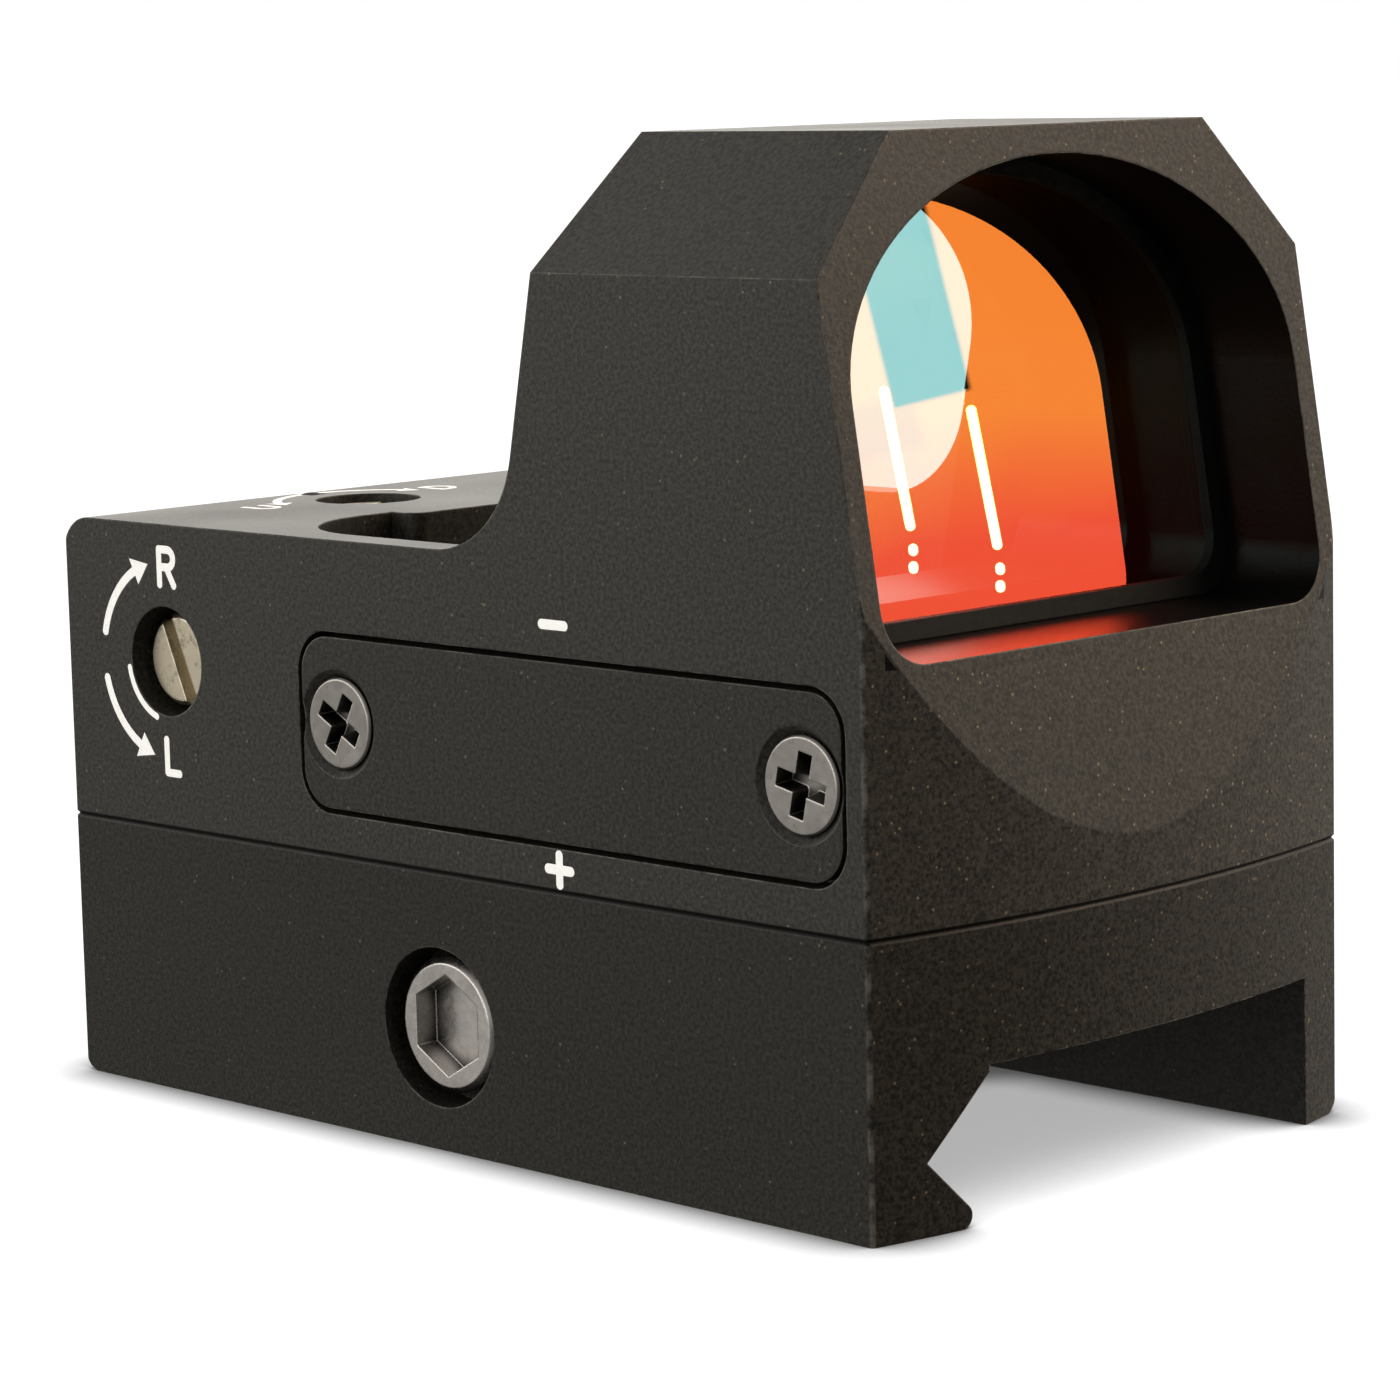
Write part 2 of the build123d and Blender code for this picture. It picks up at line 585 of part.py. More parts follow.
def elevation_screw():
    head = Pos(ELEVATION_X, ELEVATION_Y, 25.15) * Rot(0, 0, 20) * slotted_head(0.6, 0.4)
    shaft = rod_z(SCREW_R, 15.2, 25.2, ELEVATION_X, ELEVATION_Y)
    groove = rod_z(SCREW_R + 1, 23.4, 23.8, ELEVATION_X, ELEVATION_Y)
    groove -= rod_z(SCREW_R - 0.35, 23.4, 23.8, ELEVATION_X, ELEVATION_Y)
    return head + shaft - groove


def e_clip(thickness):
    """Retaining clip about local Z, open on one side."""
    clip = Cylinder(2.2, thickness) - Cylinder(SCREW_R - 0.35, thickness)
    return clip - Pos(2.0, 0, 0) * Box(4.0, 1.4, thickness)


def windage_clip():
    return Pos(-8.74, WINDAGE_Y, WINDAGE_Z) * Rot(0, 90, 0) * e_clip(0.32)


def elevation_clip():
    return Pos(ELEVATION_X, ELEVATION_Y, 23.6) * e_clip(0.34)


def o_ring():
    return Torus(SCREW_R + SCREW_RUNNING + 0.32, 0.28)


def windage_o_ring():
    return Pos(-12.7, WINDAGE_Y, WINDAGE_Z) * Rot(0, 90, 0) * o_ring()


def elevation_o_ring():
    return Pos(ELEVATION_X, ELEVATION_Y, 24.8) * o_ring()


def windage_follower():
    """Cross nut on the windage screw; the cavity walls stop it turning."""
    body = block(-7.9, -5.65, CAVITY_FRONT_Y + 0.1, CAVITY_REAR_Y - 0.1, 18.4, 21.4)
    return body - rod_x(SCREW_R + SCREW_RUNNING, -8.5, -5.0, WINDAGE_Y, WINDAGE_Z)


def elevation_slide():
    """Platform that climbs the elevation screw and carries the emitter carriage."""
    body = block(-4.9, 8.6, 15.6, 23.8, 16.5, 18.2)
    body += rod_z(2.4, 15.7, 16.6, ELEVATION_X, ELEVATION_Y)
    body += block(7.8, 8.6, 15.6, 19.4, 18.1, 22.2)
    body += block(-4.9, 8.6, 16.3, 17.1, 18.1, 18.7)
    body -= rod_z(SCREW_R + SCREW_RUNNING, 15.0, 19.0, ELEVATION_X, ELEVATION_Y)
    return body - rod_z(1.5, 16.4, 17.0, 4.8, 21.0)


def emitter_carriage():
    """Slides across on the platform's rib; the follower pushes its side lug."""
    body = block(-4.8, 4.8, 15.6, 17.6, 18.25, 22.65)
    body += block(-5.63, -3.9, 17.5, 19.9, 18.25, 21.2)
    body += block(-5.63, -3.9, 15.6, 17.6, 18.25, 21.2)
    body -= block(-6, 6, 16.25, 17.15, 18.2, 18.75)
    return body - rod_x(1.3, 4.0, 5.0, 16.6, 20.6)


def emitter_board():
    return block(-1.9, 1.9, 15.15, 15.6, 20.9, 23.0)


def emitter_chip():
    return block(-0.5, 0.5, 14.95, 15.15, 21.5, 22.5)


def emitter_window():
    return block(-2.75, 2.75, 13.9, 14.4, 20.35, 23.65)


def coil(radius, wire, height, turns):
    """Open coil about local Z, from z = 0 to z = height over its wire."""
    path = Helix(pitch=(height - 2 * wire) / turns, height=height - 2 * wire, radius=radius)
    start = path @ 0
    section = Plane(origin=start, z_dir=path % 0) * Circle(wire)
    return Pos(0, 0, wire) * sweep(section, path=path)


def windage_spring():
    return Pos(4.05, 16.6, 20.6) * Rot(0, 90, 0) * coil(0.95, 0.15, 3.7, 5)


def elevation_spring():
    return Pos(4.8, 21.0, SEAM_Z) * coil(1.1, 0.17, 4.75, 6)


# ---- electronics --------------------------------------------------------------------
def circuit_board():
    board = block(-8.7, 8.7, CAVITY_FRONT_Y + 0.2, CAVITY_REAR_Y - 0.2, SEAM_Z + 0.4, SEAM_Z + 1.2)
    return board - rod_z(1.7, SEAM_Z, SEAM_Z + 2, 4.8, 21.0)


def board_components():
    z0 = SEAM_Z + 1.2
    chips = [block(-7.6, -3.6, 18.4, 22.4, z0, z0 + 0.8)]
    for x in (-1.6, 0.2):
        for y in (16.4, 21.6):
            chips.append(block(x, x + 0.9, y, y + 1.4, z0, z0 + 0.6))
    return Compound(children=chips)


def board_spacers():
    spots = [(-8.0, 15.7), (8.0, 15.7), (-8.0, 23.5), (8.0, 23.5)]
    return Compound(children=[rod_z(0.5, SEAM_Z, SEAM_Z + 0.4, x, y) for x, y in spots])


# ---- power switch -------------------------------------------------------------------
def switch_board():
    return rod_x(BUTTON_BORE_R - 0.2, 12.2, 12.8, BUTTON_Y, BUTTON_Z)


def switch_dome():
    dome = rod_x(1.8, 12.8, 13.1, BUTTON_Y, BUTTON_Z)
    return chamfer(dome.edges().group_by(Axis.X)[-1], 0.2)


def power_button():
    cap = rod_x(BUTTON_R, 13.6, 14.9, BUTTON_Y, BUTTON_Z)
    cap = fillet(cap.edges().group_by(Axis.X)[-1], 0.4)
    flange = rod_x(BUTTON_BORE_R - 0.2, 13.5, 14.0, BUTTON_Y, BUTTON_Z)
    for i in range(3):
        angle = math.radians(120 * i + 90)
        y = BUTTON_Y + 1.2 * math.cos(angle)
        cap -= Pos(14.9, y, BUTTON_Z + 1.2 * math.sin(angle)) * Sphere(0.3)
    return cap + flange


def button_ring():
    ring = ring_x(BUTTON_BORE_R, BUTTON_R + 0.1, 14.05, HALF_W, BUTTON_Y, BUTTON_Z)
    for side in (-1, 1):
        y = BUTTON_Y + side * (BUTTON_R + BUTTON_BORE_R + 0.1) / 2
        ring -= block(14.6, HALF_W + 1, y - 0.3, y + 0.3, BUTTON_Z - 0.3, BUTTON_Z + 0.3)
    return ring


# ---- build --------------------------------------------------------------------------
def main():
    os.makedirs("parts", exist_ok=True)
    windage_paint = windage_marks()
    polarity_paint = polarity_marks()
    elevation_paint = elevation_marks()
    front_element, rear_element = lens_elements()
    nodes = {
        "housing": housing(windage_paint + polarity_paint + elevation_paint),
        "windage_marks": windage_paint,
        "polarity_marks": polarity_paint,
        "elevation_marks": elevation_paint,
        "lens_front_element": front_element,
        "lens_rear_element": rear_element,
        "lens_seal": lens_seal(),
        "mount_base": mount_base(),
        "clamp_jaw": clamp_jaw(),
        "clamp_screw": clamp_screw(),
        "jaw_guide_pin": jaw_guide_pin(),
        "base_screws": base_screws(),
        "base_dowels": base_dowels(),
        "base_gasket": base_gasket(),
        "battery_cover": battery_cover(),
        "cover_screws": cover_screws(),
        "cover_seal": seal_ring(),
        "battery_tray": battery_tray(),
        "coin_cell_can": coin_cell_can(),
        "coin_cell_gasket": coin_cell_gasket(),
        "coin_cell_cap": coin_cell_cap(),
        "contact_positive": contact_strip(POSITIVE_X, BAY_Z0 + 0.1, CELL_Z, SEAM_Z + 1.2),
        "contact_negative": contact_strip(NEGATIVE_X, BAY_Z1 - 0.1, CELL_Z + CELL_THICKNESS, SEAM_Z + 1.2),
        "windage_screw": windage_screw(),
        "windage_clip": windage_clip(),
        "windage_o_ring": windage_o_ring(),
        "windage_follower": windage_follower(),
        "windage_spring": windage_spring(),
        "elevation_screw": elevation_screw(),
        "elevation_clip": elevation_clip(),
        "elevation_o_ring": elevation_o_ring(),
        "elevation_slide": elevation_slide(),
        "elevation_spring": elevation_spring(),
        "emitter_carriage": emitter_carriage(),
        "emitter_board": emitter_board(),
        "emitter_chip": emitter_chip(),
        "emitter_window": emitter_window(),
        "circuit_board": circuit_board(),
        "board_components": board_components(),
        "board_spacers": board_spacers(),
        "switch_board": switch_board(),
        "switch_dome": switch_dome(),
        "power_button": power_button(),
        "button_ring": button_ring(),
    }
    for name, shape in nodes.items():
        save(name, shape)


main()
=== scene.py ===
import math

import bpy
from mathutils import Matrix, Vector

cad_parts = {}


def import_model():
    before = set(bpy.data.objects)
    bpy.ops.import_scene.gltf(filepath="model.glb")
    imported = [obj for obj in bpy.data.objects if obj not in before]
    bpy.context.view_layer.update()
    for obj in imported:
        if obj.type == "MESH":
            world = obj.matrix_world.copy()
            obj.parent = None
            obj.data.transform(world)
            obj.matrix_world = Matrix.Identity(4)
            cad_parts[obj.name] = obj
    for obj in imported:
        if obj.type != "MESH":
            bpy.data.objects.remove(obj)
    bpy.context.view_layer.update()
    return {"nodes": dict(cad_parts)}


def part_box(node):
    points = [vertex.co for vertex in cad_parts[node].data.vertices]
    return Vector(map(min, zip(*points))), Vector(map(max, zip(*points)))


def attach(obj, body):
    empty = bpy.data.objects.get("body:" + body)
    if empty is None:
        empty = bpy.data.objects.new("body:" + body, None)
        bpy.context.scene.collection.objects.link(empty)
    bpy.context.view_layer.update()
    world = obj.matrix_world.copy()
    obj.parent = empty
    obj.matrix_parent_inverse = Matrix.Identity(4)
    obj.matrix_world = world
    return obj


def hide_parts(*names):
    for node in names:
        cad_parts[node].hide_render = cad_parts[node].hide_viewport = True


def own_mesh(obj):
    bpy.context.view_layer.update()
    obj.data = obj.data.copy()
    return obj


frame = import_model()
nodes = frame["nodes"]

MM = 0.001

# ---- view, in degrees and metres ----------------------------------------------------
VIEW_AZIMUTH = -45.0
VIEW_ELEVATION = 8.2
VIEW_ROLL = -1.34
VIEW_DISTANCE = 0.195
VIEW_TARGET = Vector((-0.00444, -0.00485, 0.01885))
SENSOR = 36.0
FOCAL = 115.9

# ---- the hood, as the CAD has it ----------------------------------------------------
FRONT_SLOPE = 0.16
SLOPE_START_Z = 25.06 * MM
CORNER_Y = -24.275 * MM
HALF_WIDTH = 15 * MM
SEAM_Z = 12.2 * MM
SEAM_EDGE = 0.12 * MM
HOOD_REAR_Y = -3.85 * MM
HOOD_REAR_Z = 26.1 * MM
REAR_SLOPE = 0.2022
TUNNEL_HALF = 13.9 * MM
TUNNEL_FLOOR = 22.8 * MM
ARCH_Z = 33.0 * MM
ARCH_RISE = 9.2 * MM


# ---- node helpers -------------------------------------------------------------------
class Graph:
    """A material's node tree, with short calls for the nodes used here."""

    def __init__(self, name):
        self.material = bpy.data.materials.new(name)
        self.material.use_nodes = True
        self.tree = self.material.node_tree
        self.tree.nodes.clear()
        self.out = self.tree.nodes.new("ShaderNodeOutputMaterial")
        self.place = self.tree.nodes.new("ShaderNodeTexCoord").outputs["Object"]

    def node(self, kind, **values):
        made = self.tree.nodes.new("ShaderNode" + kind)
        for key, value in values.items():
            setattr(made, key, value)
        return made

    def link(self, source, target):
        self.tree.links.new(source, target)

    def noise(self, scale, detail=2.0, roughness=0.5):
        made = self.node("TexNoise")
        made.inputs["Scale"].default_value = scale
        made.inputs["Detail"].default_value = detail
        made.inputs["Roughness"].default_value = roughness
        self.link(self.place, made.inputs["Vector"])
        return made.outputs["Fac"]

    def cells(self, scale):
        made = self.node("TexVoronoi")
        made.inputs["Scale"].default_value = scale
        self.link(self.place, made.inputs["Vector"])
        return made.outputs["Distance"]

    def ramp(self, fac, low, high, start, end):
        """Maps fac from low..high to start..end, clamped."""
        made = self.node("MapRange")
        made.inputs["From Min"].default_value = low
        made.inputs["From Max"].default_value = high
        made.inputs["To Min"].default_value = start
        made.inputs["To Max"].default_value = end
        self.link(fac, made.inputs["Value"])
        return made.outputs["Result"]

    def math(self, operation, a, b):
        made = self.node("Math", operation=operation)
        for socket, value in zip(made.inputs, (a, b)):
            if isinstance(value, (int, float)):
                socket.default_value = value
            else:
                self.link(value, socket)
        return made.outputs["Value"]

    def mix(self, fac, a, b):
        made = self.node("Mix", data_type="RGBA")
        self.link(fac, made.inputs["Factor"])
        for socket, value in ((made.inputs[6], a), (made.inputs[7], b)):
            if isinstance(value, tuple):
                socket.default_value = (*value, 1.0)
            else:
                self.link(value, socket)
        return made.outputs[2]

    def tinted(self, a, b):
        """The product of two colours."""
        made = self.node("Mix", data_type="RGBA", blend_type="MULTIPLY")
        made.inputs["Factor"].default_value = 1.0
        self.link(a, made.inputs[6])
        self.link(b, made.inputs[7])
        return made.outputs[2]

    def axis(self, vector, name):
        made = self.node("SeparateXYZ")
        self.link(vector, made.inputs["Vector"])
        return made.outputs[name]

    def bump(self, height, strength, distance, normal=None):
        made = self.node("Bump")
        made.inputs["Strength"].default_value = strength
        made.inputs["Distance"].default_value = distance
        self.link(height, made.inputs["Height"])
        if normal is not None:
            self.link(normal, made.inputs["Normal"])
        return made.outputs["Normal"]

    def rounded(self, radius):
        made = self.node("Bevel", samples=6)
        made.inputs["Radius"].default_value = radius
        return made.outputs["Normal"]

    def occlusion(self, reach):
        made = self.node("AmbientOcclusion", samples=24)
        made.inputs["Distance"].default_value = reach
        return made.outputs["AO"]

    def edge_mask(self, radius):
        """1 along sharp edges, 0 on flats."""
        normal = self.node("NewGeometry").outputs["Normal"]
        dot = self.node("VectorMath", operation="DOT_PRODUCT")
        self.link(normal, dot.inputs[0])
        self.link(self.rounded(radius), dot.inputs[1])
        return self.ramp(dot.outputs["Value"], 0.995, 0.86, 0.0, 1.0)

    def principled(self, **values):
        made = self.node("BsdfPrincipled")
        for key, value in values.items():
            socket = made.inputs[key]
            if isinstance(value, tuple):
                socket.default_value = (*value, 1.0)
            elif isinstance(value, (int, float)):
                socket.default_value = value
            else:
                self.link(value, socket)
        self.link(made.outputs["BSDF"], self.out.inputs["Surface"])
        return made


# ---- materials ----------------------------------------------------------------------
BLAST_GRAIN = 5200.0                 # noise scale of the blasted grain, per metre
BLAST_ROUGHNESS = 0.42
# The next value adds painted glint dots on faces that look to the front.
FRONT_GLINT_BOOST = 0.11                   # faces that look to the front sparkle more
BARE_METAL = (0.36, 0.34, 0.31)
# Near-black painted shade for the groove between housing and mount.
SEAM_SHADE_BLACK = (0.001, 0.001, 0.001)
STEEL_GRAIN = 2600.0
PAINT_GLOW = 0.22


def corner_mask(g):
    """1 along the rounded upright corners at the front, where the finish rubs through."""
    dx = g.math("SUBTRACT", g.math("ABSOLUTE", g.axis(g.place, "X"), 0.0), HALF_WIDTH)
    dy = g.math("SUBTRACT", g.axis(g.place, "Y"), CORNER_Y)
    apart = g.math("SQRT", g.math("ADD", g.math("MULTIPLY", dx, dx), g.math("MULTIPLY", dy, dy)), 0.0)
    return g.ramp(apart, 0.11 * MM, 0.2 * MM, 0.45, 0.0)


def seam_shade_mask(g):
    """1 in the fine groove between housing and mount, which is blackened as painted shade."""
    apart = g.math("ABSOLUTE", g.math("SUBTRACT", g.axis(g.place, "Z"), SEAM_Z), 0.0)
    return g.ramp(apart, SEAM_EDGE, SEAM_EDGE * 1.25, 1.0, 0.0)


def anodised(name, dark, light, wear=0.5, shine=0.3):
    """Bead-blasted black anodising: fine grain, faint bright dots that are painted glints, edges rubbed
    bright, and painted shade in the seam's groove.
    """
    g = Graph(name)
    fine = g.noise(BLAST_GRAIN, 3.0, 0.6)
    broad = g.noise(70.0, 3.0, 0.5)
    # Painted glints: bright dots put into the base colour, with more of them on faces that look to the
    # front.
    glint_specks = g.ramp(g.cells(BLAST_GRAIN * 0.42), 0.17, 0.08, 0.0, 1.0)
    front = g.math("LESS_THAN", g.axis(g.node("NewGeometry").outputs["Normal"], "Y"), -0.9)
    field = g.math("ADD", g.noise(BLAST_GRAIN * 0.3, 1.0), g.math("MULTIPLY", front, FRONT_GLINT_BOOST))
    glint_field = g.ramp(field, 0.56, 0.66, 0.0, 1.0)
    tone = g.ramp(fine, 0.36, 0.64, 0.0, 1.0)
    colour = g.mix(tone, tuple(c * 0.5 for c in dark), tuple(c * 1.6 for c in light))
    painted_glints = g.math("MULTIPLY", glint_specks, glint_field)
    # Colour of the painted glints.
    bright = (light[0] * 7.0, light[1] * 6.2, light[2] * 4.8)
    colour = g.mix(painted_glints, colour, bright)
    rubbed = g.ramp(g.noise(900.0, 4.0, 0.7), 0.42, 0.62, 0.0, wear)
    edge = g.math("MULTIPLY", g.math("MAXIMUM", g.edge_mask(0.09 * MM), corner_mask(g)), rubbed)
    colour = g.mix(edge, colour, BARE_METAL)
    # Painted shade: the groove between housing and mount is coloured near black.
    colour = g.mix(seam_shade_mask(g), colour, SEAM_SHADE_BLACK)
    roughness = g.ramp(broad, 0.3, 0.7, BLAST_ROUGHNESS - 0.05, BLAST_ROUGHNESS + 0.06)
    normal = g.bump(fine, 0.6, 0.02 * MM, g.rounded(0.12 * MM))
    values = {"Base Color": colour, "Roughness": roughness, "Normal": normal,
              "Specular IOR Level": shine}
    return g, values


def tunnel_gloss_and_shade(g):
    """1 on the hood's inner walls, where the finish turns glossy and shade is painted in, 0 elsewhere."""
    x = g.axis(g.place, "X")
    y = g.axis(g.place, "Y")
    z = g.axis(g.place, "Z")
    across = g.math("DIVIDE", x, TUNNEL_HALF + 0.04 * MM)
    over = g.math("DIVIDE", g.math("MAXIMUM", g.math("SUBTRACT", z, ARCH_Z), 0.0), ARCH_RISE + 0.04 * MM)
    squared = g.math("ADD", g.math("MULTIPLY", across, across), g.math("MULTIPLY", over, over))
    inside = g.math("LESS_THAN", squared, 1.0)
    above = g.math("GREATER_THAN", z, TUNNEL_FLOOR - 0.03 * MM)
    lean = g.math("MULTIPLY", g.math("SUBTRACT", z, SLOPE_START_Z), FRONT_SLOPE)
    front_y = g.math("ADD", CORNER_Y + 0.03 * MM, lean)
    behind = g.math("GREATER_THAN", y, front_y)
    rear_lean = g.math("MULTIPLY", g.math("SUBTRACT", z, HOOD_REAR_Z), REAR_SLOPE)
    rear_y = g.math("SUBTRACT", HOOD_REAR_Y, rear_lean)
    before = g.math("LESS_THAN", y, rear_y)
    return g.math("MULTIPLY", g.math("MULTIPLY", inside, above), g.math("MULTIPLY", behind, before))


def housing_finish():
    """The body's anodising; inside the hood's tunnel it is smooth and glossy, with painted shade making it
    near black.
    """
    g, values = anodised("anodised_housing", (0.0125, 0.0115, 0.0095), (0.0225, 0.0208, 0.0175), wear=0.6)
    inner = tunnel_gloss_and_shade(g)
    # Painted shade: the tunnel's walls are coloured near black.
    values["Base Color"] = g.mix(inner, values["Base Color"], (0.004, 0.004, 0.004))
    gloss = g.math("MULTIPLY", inner, -0.1)
    values["Roughness"] = g.math("ADD", values["Roughness"], gloss)
    skin = g.principled(**values)
    values["Specular IOR Level"] = 0.1
    shaded_lining = g.principled(**values)
    joined = g.node("MixShader")
    g.link(inner, joined.inputs[0])
    g.link(skin.outputs["BSDF"], joined.inputs[1])
    g.link(shaded_lining.outputs["BSDF"], joined.inputs[2])
    g.link(joined.outputs[0], g.out.inputs["Surface"])
    return g.material


def plain_finish(*values, **more):
    """The same anodising with nothing added."""
    g, inputs = anodised(*values, **more)
    g.principled(**inputs)
    return g.material


def steel(name, colour, rough):
    """Plain steel: painted shade darkens its recesses; bright on its edges."""
    g = Graph(name)
    fine = g.noise(STEEL_GRAIN, 4.0, 0.7)
    broad = g.noise(420.0, 3.0, 0.6)
    tone = g.ramp(broad, 0.3, 0.7, 0.0, 1.0)
    base = g.mix(tone, tuple(c * 0.75 for c in colour), colour)
    # Painted shade: ambient occlusion darkens the colour in recesses such as sockets.
    recess_shade = g.ramp(g.occlusion(0.9 * MM), 0.35, 0.85, 0.12, 1.0)
    base = g.tinted(base, recess_shade)
    worn = g.math("MULTIPLY", g.edge_mask(0.09 * MM), 0.9)
    base = g.mix(worn, base, (0.8, 0.78, 0.75))
    roughness = g.ramp(fine, 0.3, 0.7, rough - 0.08, rough + 0.1)
    normal = g.bump(fine, 0.25, 0.01 * MM, g.rounded(0.1 * MM))
    g.principled(**{"Base Color": base, "Roughness": roughness, "Normal": normal, "Metallic": 1.0})
    return g.material


def turned_screw(name, colour, centre, along):
    """Turned face: fine rings about the screw's axis, worn and slightly dirty."""
    g = Graph(name)
    shift = g.node("VectorMath", operation="SUBTRACT")
    g.link(g.place, shift.inputs[0])
    shift.inputs[1].default_value = centre
    flat = g.node("VectorMath", operation="MULTIPLY")
    g.link(shift.outputs["Vector"], flat.inputs[0])
    flat.inputs[1].default_value = tuple(0.0 if a else 1.0 for a in along)
    length = g.node("VectorMath", operation="LENGTH")
    g.link(flat.outputs["Vector"], length.inputs[0])
    rings = g.math("SINE", g.math("MULTIPLY", length.outputs["Value"], 2 * math.pi / (0.11 * MM)), 0.0)
    dirt = g.ramp(g.noise(1500.0, 5.0, 0.75), 0.5, 0.66, 0.0, 0.75)
    base = g.mix(dirt, colour, tuple(c * 0.28 for c in colour))
    worn = g.math("MULTIPLY", g.edge_mask(0.07 * MM), 0.8)
    base = g.mix(worn, base, (0.85, 0.82, 0.75))
    roughness = g.ramp(dirt, 0.0, 0.75, 0.3, 0.6)
    height = g.math("ADD", g.math("MULTIPLY", rings, 0.5), g.noise(1800.0, 3.0, 0.6))
    normal = g.bump(height, 0.3, 0.006 * MM, g.rounded(0.1 * MM))
    g.principled(**{"Base Color": base, "Roughness": roughness, "Normal": normal, "Metallic": 1.0})
    return g.material


def paint():
    """White paint in the engraved marks, with a faint glow of its own to keep it pure white."""
    g = Graph("white_mark_paint")
    fine = g.noise(3200.0, 3.0, 0.6)
    colour = g.mix(g.ramp(fine, 0.3, 0.7, 0.0, 1.0), (0.84, 0.83, 0.81), (0.95, 0.95, 0.94))
    normal = g.bump(fine, 0.2, 0.01 * MM)
    g.principled(**{"Base Color": colour, "Roughness": 0.45, "Normal": normal,
                    "Emission Color": (1.0, 1.0, 1.0), "Emission Strength": PAINT_GLOW})
    return g.material


def rubber():
    """Matt black rubber."""
    g = Graph("black_rubber")
    fine = g.noise(2400.0, 3.0, 0.6)
    colour = g.mix(g.ramp(fine, 0.3, 0.7, 0.0, 1.0), (0.003, 0.003, 0.003), (0.008, 0.008, 0.0075))
    normal = g.bump(fine, 0.3, 0.01 * MM, g.rounded(0.1 * MM))
    g.principled(**{"Base Color": colour, "Roughness": 0.6, "Normal": normal, "Specular IOR Level": 0.15})
    return g.material


def moulded(name, dark, light, rough):
    """Moulded plastic or resin, with a faint mottle between two tones."""
    g = Graph(name)
    fine = g.noise(1800.0, 3.0, 0.6)
    colour = g.mix(g.ramp(fine, 0.3, 0.7, 0.0, 1.0), dark, light)
    normal = g.bump(fine, 0.2, 0.01 * MM, g.rounded(0.08 * MM))
    g.principled(**{"Base Color": colour, "Roughness": rough, "Normal": normal})
    return g.material


REFLECTED_HIGH = (0.92, 0.24, 0.035)
REFLECTED_LOW = (0.86, 0.085, 0.04)
PASSED = (0.30, 0.60, 0.59)
JOINT_SHINE = 0.12                   # the cemented joint's share of the reflection
INSIDE_SHINE = 0.4                   # seen through the glass from behind


def coated_glass():
    """Front element: its front face carries the coating that reflects orange and passes blue-green.

    The joint behind it returns a faint second reflection."""
    g = Graph("coated_glass")
    height = g.axis(g.place, "Z")
    wave = g.math("MULTIPLY", g.math("SUBTRACT", g.noise(90.0, 2.0, 0.5), 0.5), 6 * MM)
    tone = g.ramp(g.math("ADD", height, wave), 26 * MM, 31 * MM, 0.0, 1.0)
    reflected = g.mix(tone, REFLECTED_LOW, REFLECTED_HIGH)

    geometry = g.node("NewGeometry")
    from_inside = geometry.outputs["Backfacing"]
    across = g.axis(geometry.outputs["True Normal"], "Y")
    outward = g.math("MULTIPLY", across, g.ramp(from_inside, 0.0, 1.0, 1.0, -1.0))
    on_front = g.math("LESS_THAN", outward, -0.9)
    level = g.math("MULTIPLY", g.ramp(on_front, 0.0, 1.0, JOINT_SHINE, 1.0),
                   g.ramp(from_inside, 0.0, 1.0, 1.0, INSIDE_SHINE))
    mirror = g.node("BsdfGlossy")
    mirror.inputs["Roughness"].default_value = 0.0
    g.link(g.tinted(reflected, g.mix(level, (0.0, 0.0, 0.0), (1.0, 1.0, 1.0))), mirror.inputs["Color"])
    window = g.node("BsdfTransparent")
    g.link(g.mix(on_front, (1.0, 1.0, 1.0), PASSED), window.inputs["Color"])
    coating = g.node("AddShader")
    g.link(mirror.outputs[0], coating.inputs[0])
    g.link(window.outputs[0], coating.inputs[1])
    edge = g.node("BsdfTransparent")
    edge.inputs["Color"].default_value = (0.96, 0.97, 0.97, 1.0)
    joined = g.node("MixShader")
    g.link(g.math("GREATER_THAN", g.math("ABSOLUTE", across, 0.0), 0.9), joined.inputs[0])
    g.link(edge.outputs[0], joined.inputs[1])
    g.link(coating.outputs[0], joined.inputs[2])
    g.link(joined.outputs[0], g.out.inputs["Surface"])
    return g.material


def clear_glass():
    """Uncoated glass: clear, with a weak reflection on its outer faces."""
    g = Graph("clear_glass")
    clear = g.node("BsdfTransparent")
    clear.inputs["Color"].default_value = (0.95, 0.96, 0.96, 1.0)
    shine = g.node("BsdfGlossy")
    shine.inputs["Roughness"].default_value = 0.0
    fresnel = g.node("Fresnel")
    fresnel.inputs["IOR"].default_value = 1.5
    outer = g.math("MULTIPLY", g.math("SUBTRACT", 1.0, g.node("NewGeometry").outputs["Backfacing"]), 0.3)
    joined = g.node("MixShader")
    g.link(g.math("MULTIPLY", fresnel.outputs[0], outer), joined.inputs[0])
    g.link(clear.outputs[0], joined.inputs[1])
    g.link(shine.outputs[0], joined.inputs[2])
    g.link(joined.outputs[0], g.out.inputs["Surface"])
    return g.material


def dress(material, *names):
    """Gives the named CAD nodes their material."""
    for name in names:
        mesh = nodes[name].data
        mesh.materials.clear()
        mesh.materials.append(material)


